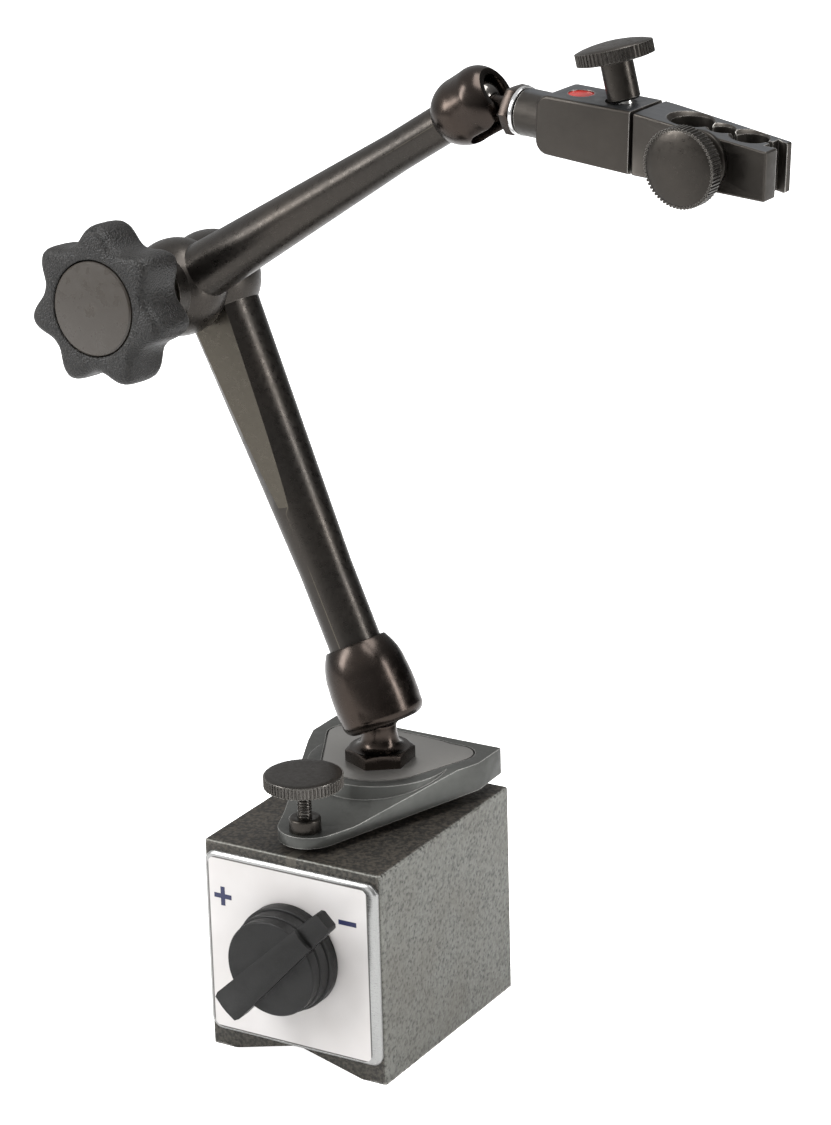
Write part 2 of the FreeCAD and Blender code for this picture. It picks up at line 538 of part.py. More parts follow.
KNOB_AT = washer_front + 0.05
knob_axis_frame = frame_at(on_clamp(KNOB_AT), plane_up, clamp_axis)
LOBES = 7
LOBE_TIP, LOBE_ROOT = 19.9, 16.0
KNOB_NECK, KNOB_FACE = 6.0, 20.9
LOBE_TURN = -11.0


def lobe_profile(shrink):
    """Seven round tips joined by hollow flanks, as one closed wire."""
    tip, root = LOBE_TIP - shrink, LOBE_ROOT - shrink
    step = 2 * math.pi / LOBES
    spread = math.radians(9.5)
    edges = []
    for i in range(LOBES):
        mid = math.radians(LOBE_TURN) + i * step

        def at(radius, angle):
            return V(radius * math.cos(angle), radius * math.sin(angle), 0)
        start, end = at(tip * 0.965, mid - spread), at(tip * 0.965, mid + spread)
        following = at(tip * 0.965, mid + step - spread)
        edges.append(Part.Arc(start, at(tip, mid), end).toShape())
        edges.append(Part.Arc(end, at(root, mid + step / 2), following).toShape())
    return Part.Face(Part.Wire(edges))


lobes = lobe_profile(0).extrude(Z * (KNOB_FACE - KNOB_NECK))
lobes.translate(Z * KNOB_NECK)
lens = turned([(0, KNOB_NECK - 1), (14.0, KNOB_NECK - 1), ((18.2, KNOB_NECK + 1.0), (20.4, KNOB_NECK + 4.6)),
               (20.6, KNOB_FACE - 4.6), ((18.4, KNOB_FACE - 1.2), (13.2, KNOB_FACE)), (0, KNOB_FACE)])
lobes = lobes.common(lens)
core = turned([(0, 0), (8.4, 0), (9.2, 1.5), (10.4, KNOB_NECK + 1), (0, KNOB_NECK + 1)])
insert_room = Part.makeCylinder(6.0, 12.5)
stud_room = Part.makeCylinder(STUD_R + 0.3, 15.5)
CAP_R, CAP_DEPTH = 11.3, 2.0
cap_room = Part.makeCylinder(CAP_R + 0.25, 10, V(0, 0, KNOB_FACE - CAP_DEPTH))
knob = lobes.fuse(core).cut([insert_room, stud_room, cap_room])
export("clamp_knob", placed(knob.removeSplitter(), knob_axis_frame))
knob_insert = Part.makeCylinder(6.0, 12.5).cut(Part.makeCylinder(STUD_R + RUNNING_GAP, 12.5))
export("knob_insert", placed(knob_insert, knob_axis_frame))
cap = turned([(0, KNOB_FACE - CAP_DEPTH), (CAP_R, KNOB_FACE - CAP_DEPTH), (CAP_R, KNOB_FACE - 0.1),
              (CAP_R - 0.4, KNOB_FACE + 0.25), crown_end(CAP_R - 0.4, KNOB_FACE + 0.25, 0.4)])
export("knob_cap", placed(cap, knob_axis_frame))


# ---- fine-adjust head, drawn along local X from the upper ball ----
def along(radius, start, end):
    return Part.makeCylinder(radius, end - start, V(start, 0, 0), X)


def head(shape):
    return placed(shape, head_frame)


def turned_x(path):
    """A solid of revolution about local X, from (radius, x) steps."""
    shape = turned(path)
    shape.rotate(V(0, 0, 0), Y, 90)
    return shape


HEX_START, HEX_END = 8.6, 11.7
NECK_FACE = math.sqrt(UPPER_BALL_R ** 2 - UPPER_NECK_R ** 2)
stud_body = turned_x([(0, -2.6), (1.5, -2.6), (1.5, NECK_FACE), (UPPER_NECK_R, NECK_FACE),
                      ((2.45, 6.2), (2.75, HEX_START - 0.2)), (4.6, HEX_START + 0.5), (6.1, HEX_START + 1.0),
                      (6.1, HEX_END), (3.0, HEX_END), (3.0, 20.5), (0, 20.5)])
hex_bar = prism([(0, 6.0 * math.cos(math.radians(60 * i)), 6.0 * math.sin(math.radians(60 * i)))
                 for i in range(6)], HEX_END, (1, 0, 0))
stud_body = stud_body.common(hex_bar.fuse([along(3.0, 0, 27), along(3.0, -6, 5)]))
export("upper_ball_stud", head(stud_body))
WASHER_END = 12.9
bright_washer = along(5.75, HEX_END + 0.2, WASHER_END).cut(along(3.0, 5, 20))
export("head_washer", head(bright_washer))

BLOCK_START, BLOCK_SHOULDER, BLOCK_END = 13.2, 20.0, 45.2
BLOCK_HALF_Y = 6.5
block_side = [(BLOCK_SHOULDER, 6.8), (BLOCK_END, 7.2), (BLOCK_END, -7.2), (BLOCK_SHOULDER, -6.8)]
adjust_block = prism([(x, -BLOCK_HALF_Y, z) for x, z in block_side], 2 * BLOCK_HALF_Y, (0, 1, 0))
adjust_block = rounded(adjust_block, 3.2, lambda e: e.BoundBox.XMax < BLOCK_END - 1
                       and e.BoundBox.YLength > 5)
adjust_block = rounded(adjust_block, 0.8, lambda e: e.BoundBox.XLength > 15)
neck = along(5.4, BLOCK_START, BLOCK_SHOULDER + 3)
TONGUE_HALF_Y = 2.6
HEAD_PIVOT_X, HEAD_PIVOT_Z = 31.5, -1.2
tongue_room = box((HEAD_PIVOT_X - 4.6, -TONGUE_HALF_Y - 0.15, -5.6),
                  (BLOCK_END + 1, TONGUE_HALF_Y + 0.15, 3.4))
HEAD_PIN_R = 1.25
pin_low = V(HEAD_PIVOT_X, -BLOCK_HALF_Y + 1.2, HEAD_PIVOT_Z)
pin_high = V(HEAD_PIVOT_X, BLOCK_HALF_Y - 0.2, HEAD_PIVOT_Z)
head_pin = cylinder(HEAD_PIN_R, pin_low, pin_high)
pin_room = cylinder(HEAD_PIN_R, pin_low, pin_high + Y * 2)

SCREW_TILT = 16.5           # the adjusting screw leans back by this much
tilt = math.radians(SCREW_TILT)
screw_axis = V(-math.sin(tilt), 0, math.cos(tilt))
screw_seat = V(41.2, 0, 1.6)


def up_screw(distance):
    return screw_seat + screw_axis * distance


POST_R, SHANK_R = 3.7, 2.0
post_pocket = cylinder(POST_R + 0.6, up_screw(5.6), up_screw(20))
shank_hole = cylinder(SHANK_R + RUNNING_GAP, up_screw(-1), up_screw(8))
stud_thread = along(3.0, 10, 20.5)
SEAL_X = 27.9
seal_room = Part.makeCylinder(3.0, 3.0, V(SEAL_X, 0, 5.95))
seal_room = seal_room.fuse(Part.makeCylinder(1.5, 3, V(SEAL_X, 0, 3.9)))
adjust_block = adjust_block.fuse(neck).cut(
    [tongue_room, pin_room, post_pocket, shank_hole, stud_thread, seal_room])
export("adjust_block", head(adjust_block.removeSplitter()))
export("head_pivot_pin", head(head_pin))
set_screw = Part.makeCylinder(1.5, 2.05, V(SEAL_X, 0, 3.9))
export("lock_set_screw", head(set_screw))
export("red_seal", head(Part.makeCylinder(3.0, 0.75, V(SEAL_X, 0, 5.95))))

leaf = prism([(33.0, -1.8, -5.55), (38.0, -1.8, -3.95), (43.0, -1.8, -5.55), (43.2, -1.8, -5.3),
              (38.0, -1.8, -3.65), (32.8, -1.8, -5.3)], 3.6, (0, 1, 0))
export("return_leaf_spring", head(leaf))

# ---- split clamp with two stem holes and a dovetail mouth ----
CLAMP_START, CLAMP_END = 46.0, 80.4
CLAMP_HALF_Y = 6.5
clamp_side = [(CLAMP_START, 7.1), (CLAMP_END, 4.6), (CLAMP_END, -6.6), (CLAMP_START, -7.1)]
clamp = prism([(x, -CLAMP_HALF_Y, z) for x, z in clamp_side], 2 * CLAMP_HALF_Y, (0, 1, 0))
taper = prism([(50, 6.5, -20), (CLAMP_END + 5, 3.9, -20), (CLAMP_END + 5, 12, -20), (50, 12, -20)],
              40, (0, 0, 1))
clamp = rounded(clamp.cut(taper), 0.5, lambda e: True)
tongue = box((HEAD_PIVOT_X, -TONGUE_HALF_Y, -3.6), (CLAMP_START + 3, TONGUE_HALF_Y, 1.5))
tongue = tongue.fuse(Part.makeCylinder(2.4, 2 * TONGUE_HALF_Y,
                                       V(HEAD_PIVOT_X, -TONGUE_HALF_Y, HEAD_PIVOT_Z), Y))
pin_bore = Part.makeCylinder(HEAD_PIN_R + RUNNING_GAP, 20, V(HEAD_PIVOT_X, -10, HEAD_PIVOT_Z), Y)
seat_cut = cylinder(SHANK_R + 0.7, up_screw(-0.06), up_screw(6))
BIG_HOLE_X, BIG_HOLE_R = 57.4, 4.76
SMALL_HOLE_X, SMALL_HOLE_R = 72.4, 4.0
BRIDGE_X, BRIDGE_R = 65.1, 2.9


def upright(radius, x, chamfer=0.0):
    """A hole square to the clamp, with a chamfer at its top edge."""
    hole = Part.makeCylinder(radius, 40, V(x, 0, -20))
    if chamfer:
        top = 7.1 - (x - CLAMP_START) * 2.5 / (CLAMP_END - CLAMP_START)
        hole = hole.fuse(Part.makeCone(radius, radius + 2, 2, V(x, 0, top - chamfer)))
    return hole


SLIT_HALF = 0.75
slit = box((BIG_HOLE_X, -SLIT_HALF, -20), (CLAMP_END + 2, SLIT_HALF, 20))
dovetail = prism([(CLAMP_END - 2.8, -3.0, -20), (CLAMP_END + 0.1, -2.1, -20),
                  (CLAMP_END + 0.1, 2.1, -20), (CLAMP_END - 2.8, 3.0, -20)], 40, (0, 0, 1))
SIDE_SCREW_X, SIDE_SCREW_Z = 64.1, 0.0
SIDE_R = 1.7
side_bore = Part.makeCylinder(SIDE_R + RUNNING_GAP, 30, V(SIDE_SCREW_X, -15, SIDE_SCREW_Z), Y)
clamp = clamp.fuse(tongue).cut([
    pin_bore, seat_cut, upright(BIG_HOLE_R, BIG_HOLE_X, 0.6), upright(SMALL_HOLE_R, SMALL_HOLE_X, 0.6),
    upright(BRIDGE_R, BRIDGE_X, 0.5), slit, dovetail, side_bore])
export("clamp_body", head(clamp))

# ---- adjusting screw of the head: threaded shank, post and knurled disc ----
head_screw_frame = frame_at(screw_seat, X, screw_axis)
POST_LOW, POST_HIGH, DISC_HIGH = 6.0, 15.0, 18.3
shank = Part.makeCylinder(SHANK_R, POST_LOW + 4.0)
export("head_screw_shank", head(placed(shank, head_screw_frame)))
post = turned([(0, POST_LOW), (POST_R - 0.5, POST_LOW), (POST_R, POST_LOW + 0.5), (POST_R, POST_HIGH + 1),
               (0, POST_HIGH + 1)])
disc = knurled_disc(8.9, POST_HIGH, DISC_HIGH, 54, 0.4, crown=1.1)
post_head = post.fuse(disc).cut(Part.makeCylinder(SHANK_R + RUNNING_GAP, 4.1, V(0, 0, POST_LOW)))
export("head_screw_post", head(placed(post_head, head_screw_frame)))

# ---- side screw that closes the clamp ----
side_frame = frame_at(V(SIDE_SCREW_X, -CLAMP_HALF_Y, SIDE_SCREW_Z), X, V(0, -1, 0))
SPACER = 5.4
side_spacer = turned([(SIDE_R + RUNNING_GAP, 0.0), (6.9, 0.0), (6.9, 1.2), (5.9, 1.7), (5.9, SPACER),
                      (SIDE_R + RUNNING_GAP, SPACER)])
export("side_screw_spacer", head(placed(side_spacer, side_frame)))
side_shank = Part.makeCylinder(SIDE_R, 2 * CLAMP_HALF_Y + SPACER + 0.8, V(0, 0, -2 * CLAMP_HALF_Y + 1.5))
export("side_screw_shank", head(placed(side_shank, side_frame)))
side_disc = knurled_disc(9.1, SPACER + 0.05, SPACER + 4.0, 54, 0.35, crown=0.35)
side_disc = side_disc.cut(Part.makeCylinder(SIDE_R + RUNNING_GAP, 2.35, V(0, 0, SPACER)))
export("side_screw_head", head(placed(side_disc, side_frame)))

for label_text, point in (("clamp axis", clamp_axis), ("lower hub", lower_hub_at),
                          ("upper hub", upper_hub_at), ("upper ball", upper_ball_at),
                          ("head x", head_dir), ("head up", head_up), ("lower dir", lower_dir),
                          ("upper dir", upper_dir),
                          ("screw seat", head_frame.multVec(screw_seat)),
                          ("screw axis", head_frame.Rotation.multVec(screw_axis)),
                          ("head pivot", head_frame.multVec(V(HEAD_PIVOT_X, 0, HEAD_PIVOT_Z))),
                          ("side screw", head_frame.multVec(V(SIDE_SCREW_X, 0, SIDE_SCREW_Z))),
                          ("head back", head_frame.Rotation.multVec(Y))):
    print(label_text, [round(c, 5) for c in point])
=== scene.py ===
"""Articulated indicator stand: switchable magnetic base, rocking plate, two-part arm
and split stem clamp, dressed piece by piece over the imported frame."""
import json
import math
import bmesh
import bpy
from mathutils import Matrix, Vector


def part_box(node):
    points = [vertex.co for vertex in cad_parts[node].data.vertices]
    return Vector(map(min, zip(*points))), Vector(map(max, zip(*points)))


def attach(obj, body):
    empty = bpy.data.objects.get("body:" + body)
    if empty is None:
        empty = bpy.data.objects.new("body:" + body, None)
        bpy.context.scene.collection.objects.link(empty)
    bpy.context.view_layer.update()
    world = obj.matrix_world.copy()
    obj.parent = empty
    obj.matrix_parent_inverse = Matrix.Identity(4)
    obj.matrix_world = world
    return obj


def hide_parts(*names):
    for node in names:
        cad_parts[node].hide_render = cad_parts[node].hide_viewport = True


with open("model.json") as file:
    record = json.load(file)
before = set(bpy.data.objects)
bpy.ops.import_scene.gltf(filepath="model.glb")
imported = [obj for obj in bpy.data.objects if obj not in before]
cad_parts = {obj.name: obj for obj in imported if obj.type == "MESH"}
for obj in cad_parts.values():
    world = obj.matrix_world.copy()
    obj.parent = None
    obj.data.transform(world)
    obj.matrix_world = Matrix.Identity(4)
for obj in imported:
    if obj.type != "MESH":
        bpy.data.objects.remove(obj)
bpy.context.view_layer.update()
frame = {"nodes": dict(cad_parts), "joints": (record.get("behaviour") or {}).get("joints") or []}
nodes = frame["nodes"]
joints = {joint["name"]: joint for joint in frame["joints"]}
MM = 0.001

# ---------------------------------------------------------------- studio
# A white sweep, a large softbox on the left, a smaller one high on the right and a
# pale sky, seen by a long lens from the front right and a little above.
CAMERA_AT = (0.4373, -0.6907, 0.4053)
CAMERA_AZIMUTH, CAMERA_ELEVATION, CAMERA_ROLL = 31.23, 19.26, -1.6
camera = bpy.data.objects.new("camera", bpy.data.cameras.new("camera"))
camera.data.sensor_width = 36
camera.data.lens = 115.06
camera.data.clip_start = 0.01
camera.matrix_world = (
    Matrix.Translation(CAMERA_AT)
    @ Matrix.Rotation(math.radians(CAMERA_AZIMUTH), 4, "Z")
    @ Matrix.Rotation(math.radians(90 - CAMERA_ELEVATION), 4, "X")
    @ Matrix.Rotation(math.radians(CAMERA_ROLL), 4, "Z"))
bpy.context.collection.objects.link(camera)
bpy.context.scene.camera = camera

sky = bpy.data.worlds.new("sky")
sky.use_nodes = True
sky_tree = sky.node_tree
backdrop = sky_tree.nodes["Background"]
backdrop.inputs["Color"].default_value = (1, 1, 1, 1)
room = sky_tree.nodes.new("ShaderNodeBackground")
facing = sky_tree.nodes.new("ShaderNodeVectorMath")
facing.operation = "DOT_PRODUCT"
facing.inputs[1].default_value = (-0.58, -0.22, 0.78)
fade = sky_tree.nodes.new("ShaderNodeMapRange")
for socket, value in (("From Min", -0.35), ("From Max", 0.85), ("To Min", 0.03), ("To Max", 1.05)):
    fade.inputs[socket].default_value = value
seen = sky_tree.nodes.new("ShaderNodeLightPath")
either = sky_tree.nodes.new("ShaderNodeMixShader")
for start, end in (
        (sky_tree.nodes.new("ShaderNodeTexCoord").outputs["Generated"], facing.inputs[0]),
        (facing.outputs["Value"], fade.inputs["Value"]),
        (fade.outputs["Result"], room.inputs["Strength"]),
        (seen.outputs["Is Camera Ray"], either.inputs[0]), (room.outputs[0], either.inputs[1]),
        (backdrop.outputs[0], either.inputs[2]),
        (either.outputs[0], sky_tree.nodes["World Output"].inputs["Surface"])):
    sky_tree.links.new(start, end)
bpy.context.scene.world = sky
bpy.context.scene.view_settings.view_transform = "Standard"


def softbox(name, place, aim, width, height, power):
    lamp = bpy.data.lights.new(name, "AREA")
    lamp.shape, lamp.size, lamp.size_y, lamp.energy = "RECTANGLE", width, height, power
    holder = bpy.data.objects.new(name, lamp)
    turn = (Vector(aim) - Vector(place)).to_track_quat("-Z", "Y")
    holder.matrix_world = Matrix.Translation(place) @ turn.to_matrix().to_4x4()
    bpy.context.collection.objects.link(holder)


softbox("softbox_left", (-0.75, -0.75, 0.75), (0, 0, 0.12), 0.35, 0.9, 12)
softbox("softbox_top", (0.25, 0.1, 1.15), (0, 0, 0.1), 0.8, 0.5, 9)
softbox("softbox_right", (1.0, 0.15, 0.45), (0, 0, 0.15), 0.16, 0.9, 6)

floor_mesh = bpy.data.meshes.new("floor")
floor_mesh.from_pydata([(-4, -4, -2e-5), (4, -4, -2e-5), (4, 4, -2e-5), (-4, 4, -2e-5)],
                       [], [(0, 1, 2, 3)])
floor = bpy.data.objects.new("floor", floor_mesh)
bpy.context.collection.objects.link(floor)
paper = bpy.data.materials.new("paper")
paper.use_nodes = True
paper.node_tree.nodes["Principled BSDF"].inputs["Base Color"].default_value = (0.93, 0.93, 0.93, 1)
paper.node_tree.nodes["Principled BSDF"].inputs["Roughness"].default_value = 0.9
glow = paper.node_tree.nodes.new("ShaderNodeLightPath")
paper.node_tree.nodes["Principled BSDF"].inputs["Emission Color"].default_value = (1, 1, 1, 1)
paper.node_tree.links.new(glow.outputs["Is Camera Ray"],
                          paper.node_tree.nodes["Principled BSDF"].inputs["Emission Strength"])
floor_mesh.materials.append(paper)


# ---------------------------------------------------------------- magnetic base
# Two milled iron poles, painted in grey hammertone and ground bright underneath,
# with brass strips between them, drilled right through for the magnet.
class Finish:
    """A Principled material with room for procedural layers on object coordinates."""

    def __init__(self, name, colour, roughness, metallic=0.0):
        self.material = bpy.data.materials.new(name)
        self.material.use_nodes = True
        self.tree = self.material.node_tree
        self.shader = self.tree.nodes["Principled BSDF"]
        self.shader.inputs["Base Color"].default_value = (*colour, 1)
        self.shader.inputs["Roughness"].default_value = roughness
        self.shader.inputs["Metallic"].default_value = metallic
        coordinates = self.tree.nodes.new("ShaderNodeTexCoord")
        self.place, self.normal = coordinates.outputs["Object"], coordinates.outputs["Normal"]

    def feed(self, socket, value):
        """Links another node's output to a socket, or sets a plain value on it."""
        if isinstance(value, bpy.types.NodeSocket):
            self.tree.links.new(value, socket)
        else:
            socket.default_value = value

    def node(self, kind, **inputs):
        made = self.tree.nodes.new(kind)
        for name, value in inputs.items():
            self.feed(made.inputs[name.replace("_", " ")], value)
        return made

    def stretched(self, scale):
        """Object coordinates pulled out along an axis, for brushed and turned grain."""
        return self.node("ShaderNodeMapping", Vector=self.place, Scale=scale).outputs["Vector"]

    def noise(self, scale, detail=3.0, where=None):
        return self.node("ShaderNodeTexNoise", Vector=where or self.place, Scale=scale,
                         Detail=detail, Roughness=0.5).outputs["Fac"]

    def cells(self, scale):
        made = self.node("ShaderNodeTexVoronoi", Vector=self.place, Scale=scale)
        made.feature = "SMOOTH_F1"
        made.inputs["Smoothness"].default_value = 0.6
        return made.outputs["Distance"]

    def ramp(self, value, low, high, start=0.0, end=1.0):
        return self.node("ShaderNodeMapRange", Value=value, From_Min=low, From_Max=high,
                         To_Min=start, To_Max=end).outputs["Result"]

    def mix(self, factor, first, second):
        made = self.tree.nodes.new("ShaderNodeMix")
        made.data_type = "RGBA"
        self.feed(made.inputs[0], factor)
        for socket, value in ((made.inputs[6], first), (made.inputs[7], second)):
            self.feed(socket, (*value, 1) if isinstance(value, tuple) else value)
        return made.outputs[2]

    def maths(self, operation, first, second=0.0):
        made = self.tree.nodes.new("ShaderNodeMath")
        made.operation = operation
        self.feed(made.inputs[0], first)
        self.feed(made.inputs[1], second)
        return made.outputs["Value"]

    def dot(self, first, second):
        made = self.tree.nodes.new("ShaderNodeVectorMath")
        made.operation = "DOT_PRODUCT"
        self.feed(made.inputs[0], first)
        self.feed(made.inputs[1], second)
        return made.outputs["Value"]

    def axis(self, which):
        return self.node("ShaderNodeSeparateXYZ", Vector=self.place).outputs[which]

    def edges(self, width, strength=1.0):
        """1 along worn outer edges, 0 on the faces."""
        soft = self.node("ShaderNodeBevel", Radius=width)
        soft.samples = 4
        sharp = self.tree.nodes.new("ShaderNodeNewGeometry").outputs["Normal"]
        return self.ramp(self.dot(soft.outputs["Normal"], sharp), 0.965, 0.80, 0.0, strength)

    def colour(self, value):
        self.tree.links.new(value, self.shader.inputs["Base Color"])

    def roughness(self, value):
        self.tree.links.new(value, self.shader.inputs["Roughness"])

    def metallic(self, value):
        self.tree.links.new(value, self.shader.inputs["Metallic"])

    def bump(self, *layers):
        """Each layer is (height, strength, depth in metres)."""
        normal = None
        for height, strength, depth in layers:
            made = self.node("ShaderNodeBump", Height=height, Strength=strength, Distance=depth)
            if normal:
                self.tree.links.new(normal, made.inputs["Normal"])
            normal = made.outputs["Normal"]
        self.tree.links.new(normal, self.shader.inputs["Normal"])


def piece_tree(name, *inputs):
    """An empty Geometry Nodes tree: geometry in and out, and its own named inputs."""
    tree = bpy.data.node_groups.new(name, "GeometryNodeTree")
    for label, kind in (("Geometry", "Geometry"), *inputs):
        tree.interface.new_socket(label, in_out="INPUT", socket_type="NodeSocket" + kind)
    tree.interface.new_socket("Geometry", in_out="OUTPUT", socket_type="NodeSocketGeometry")
    return tree, tree.nodes.new("NodeGroupInput").outputs, tree.nodes.new("NodeGroupOutput").inputs


def crease_tree():
    """Shades smoothly across every edge that bends less than an angle."""
    tree, given, out = piece_tree("soft_shading", ("Crease Angle", "Float"))
    new, link = tree.nodes.new, tree.links.new
    bend = new("GeometryNodeInputMeshEdgeAngle")
    flat = new("FunctionNodeCompare")
    flat.operation = "LESS_THAN"
    faces = new("GeometryNodeSetShadeSmooth")
    edges = new("GeometryNodeSetShadeSmooth")
    edges.domain = "EDGE"
    link(bend.outputs["Unsigned Angle"], flat.inputs[0])
    link(given["Crease Angle"], flat.inputs[1])
    link(given["Geometry"], faces.inputs["Geometry"])
    link(faces.outputs["Geometry"], edges.inputs["Geometry"])
    link(flat.outputs[0], edges.inputs["Shade Smooth"])
    link(edges.outputs["Geometry"], out["Geometry"])
    return tree


soft_shading = crease_tree()
crease_socket, = [item.identifier for item in soft_shading.interface.items_tree
                  if item.name == "Crease Angle"]


def dress(finish, names, edge=0.12, crease=34):
    """Gives CAD nodes a finish, welds their triangles, breaks their sharp edges by a small
    amount in mm, and shades them smoothly up to the crease angle in degrees."""
    for name in names:
        node = nodes[name]
        node.data.materials.clear()
        node.data.materials.append(finish.material)
        weld = node.modifiers.new("weld", "WELD")
        weld.merge_threshold = 2e-6
        if edge:
            broken = node.modifiers.new("edge", "BEVEL")
            broken.limit_method, broken.angle_limit = "ANGLE", math.radians(42)
            broken.width, broken.segments = edge * MM, 2
            broken.use_clamp_overlap = True
        shading = node.modifiers.new("shading", "NODES")
        shading.node_group = soft_shading
        shading[crease_socket] = math.radians(crease)


hammertone = Finish("hammertone", (0.15, 0.155, 0.14), 0.38, 0.35)
facing_way = hammertone.node("ShaderNodeSeparateXYZ", Vector=hammertone.normal)
bare = hammertone.ramp(facing_way.outputs["Z"], -0.80, -0.90)
mottle = hammertone.noise(1100, 4.0)
patches = hammertone.noise(70, 2.0)
dimples = hammertone.cells(1050)
paint = hammertone.mix(hammertone.ramp(mottle, 0.44, 0.57), (0.036, 0.037, 0.032),
                       (0.152, 0.154, 0.140))
paint = hammertone.mix(hammertone.ramp(dimples, 0.15, 0.65, 0.0, 0.7), paint,
                       (0.18, 0.18, 0.160))
paint = hammertone.mix(hammertone.ramp(patches, 0.4, 0.7, 0.0, 0.35), paint,
                       (0.10, 0.088, 0.070))
# Painted shade: faces turned upwards or to the front are darkened towards a dark brown.
shade_brown = hammertone.mix(hammertone.ramp(mottle, 0.44, 0.58), (0.013, 0.011, 0.009),
                       (0.046, 0.038, 0.029))
upward, forward = facing_way.outputs["Z"], facing_way.outputs["Y"]
paint = hammertone.mix(hammertone.ramp(upward, 0.80, 0.95, 0.0, 0.95), paint, shade_brown)
paint = hammertone.mix(hammertone.ramp(forward, -0.85, -0.95, 0.0, 0.8), paint, shade_brown)
# Pale flecks along the outer edges: worn paint, and a painted highlight along the lit edges.
outer = hammertone.ramp(hammertone.maths("ABSOLUTE", hammertone.axis("X")), 0.0190, 0.0205)
outer_edges = hammertone.maths("MULTIPLY", hammertone.edges(0.0011), outer)
worn_and_lit_edges = hammertone.maths("MULTIPLY", outer_edges, hammertone.ramp(mottle, 0.38, 0.50))
paint = hammertone.mix(worn_and_lit_edges, paint, (0.55, 0.54, 0.51))
ground = hammertone.noise(60, 3.0, hammertone.stretched((40, 1, 1)))
steel = hammertone.mix(ground, (0.36, 0.35, 0.33), (0.58, 0.57, 0.55))
hammertone.colour(hammertone.mix(bare, paint, steel))
hammertone.metallic(hammertone.ramp(bare, 0, 1, 0.35, 1.0))
hammertone.roughness(hammertone.maths("ADD", hammertone.ramp(dimples, 0.1, 0.6, 0.30, 0.46),
                                      hammertone.ramp(upward, 0.80, 0.95, 0.0, 0.15)))
hammertone.bump((dimples, 0.5, 0.00018), (mottle, 0.25, 0.0001))
dress(hammertone, ["pole_block_left", "pole_block_right", "rear_plug"], edge=0.0)

brass_strip = Finish("painted_brass", (0.15, 0.145, 0.12), 0.42, 0.4)
brass_grain = brass_strip.noise(1100, 3.0)
brass_strip.colour(brass_strip.mix(brass_grain, (0.045, 0.040, 0.032), (0.13, 0.12, 0.10)))
brass_strip.bump((brass_grain, 0.3, 0.0001))
dress(brass_strip, ["pole_separators"], edge=0.0)

# ---------------------------------------------------------------- front plate
# A pressed aluminium frame plate, held by four countersunk screws that the printed
# film covers.  The switch marks are printed in dark blue on the film.
satin_plate = Finish("satin_plate", (0.66, 0.67, 0.68), 0.30, 0.95)
brushed = satin_plate.noise(900, 2.0, satin_plate.stretched((1, 1, 30)))
satin_plate.colour(satin_plate.mix(brushed, (0.26, 0.262, 0.26), (0.50, 0.50, 0.49)))
satin_plate.roughness(satin_plate.ramp(brushed, 0.3, 0.7, 0.24, 0.38))
satin_plate.bump((brushed, 0.15, 0.00003))
dress(satin_plate, ["front_plate", "front_plate_screws"], edge=0.1)

film = Finish("printed_film", (0.84, 0.80, 0.80), 0.34)
smudge = film.noise(35, 3.0)
film_low, film_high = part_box("front_label")
half_wide, half_tall = (film_high.x - film_low.x) / 2, (film_high.z - film_low.z) / 2
middle = (film_low + film_high) / 2
across = film.maths("ABSOLUTE", film.maths("SUBTRACT", film.axis("X"), middle.x))
upright = film.maths("ABSOLUTE", film.maths("SUBTRACT", film.axis("Z"), middle.z))
rim = film.maths("MAXIMUM", film.maths("SUBTRACT", across, half_wide),
                 film.maths("SUBTRACT", upright, half_tall))
sheet = film.mix(film.ramp(smudge, 0.35, 0.7), (0.70, 0.68, 0.67), (0.60, 0.575, 0.56))
# Painted shade: a thin dark border round the film's edge stands for the shaded groove between film
# and frame.
film.colour(film.mix(film.ramp(rim, -0.0004, -0.0003), sheet, (0.10, 0.095, 0.09)))
film.roughness(film.ramp(film.noise(180, 2.0), 0.3, 0.7, 0.28, 0.42))
dress(film, ["front_label"], edge=0.0)


def settle(shape, name, material, smooth=False):
    """Turns a finished shape into a piece, with its faces outwards and one material."""
    bmesh.ops.recalc_face_normals(shape, faces=shape.faces)
    mesh = bpy.data.meshes.new(name)
    shape.to_mesh(mesh)
    shape.free()
    mesh.materials.append(material)
    mesh.polygons.foreach_set("use_smooth", [smooth] * len(mesh.polygons))
    made = bpy.data.objects.new(name, mesh)
    bpy.context.collection.objects.link(made)
    return made


def slab(name, outlines, front, thickness, material):
    """Flat shapes in the X-Z plane, pushed forward a little, as one mesh."""
    shape = bmesh.new()
    for outline in outlines:
        back_ring = [shape.verts.new((x, front, z)) for x, z in outline]
        front_ring = [shape.verts.new((x, front - thickness, z)) for x, z in outline]
        shape.faces.new(back_ring)
        shape.faces.new(front_ring[::-1])
        for i in range(len(outline)):
            j = (i + 1) % len(outline)
            shape.faces.new((back_ring[i], front_ring[i], front_ring[j], back_ring[j]))
    return settle(shape, name, material)


def bar(x, z, half_width, half_height):
    return [((x + sx * half_width) * MM, (z + sz * half_height) * MM)
            for sx, sz in ((-1, -1), (1, -1), (1, 1), (-1, 1))]


film_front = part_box("front_label")[0].y
ink = Finish("navy_ink", (0.018, 0.022, 0.075), 0.4)
ink.roughness(ink.ramp(ink.noise(400, 2.0), 0.3, 0.7, 0.32, 0.5))
MARK_HALF, MARK_STROKE = 2.5, 0.62
plus_at, minus_at = (-19.2, 41.4), (16.4, 41.7)
plus = []
corner = [(-MARK_HALF, -MARK_STROKE), (-MARK_STROKE, -MARK_STROKE), (-MARK_STROKE, -MARK_HALF)]
for quarter in range(4):
    plus += [((plus_at[0] + x) * MM, (plus_at[1] + z) * MM) for x, z in corner]
    corner = [(-z, x) for x, z in corner]
marks = slab("switch_marks", [plus, bar(*minus_at, MARK_HALF, MARK_STROKE)],
             film_front, 0.03 * MM, ink.material)
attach(marks, "base")

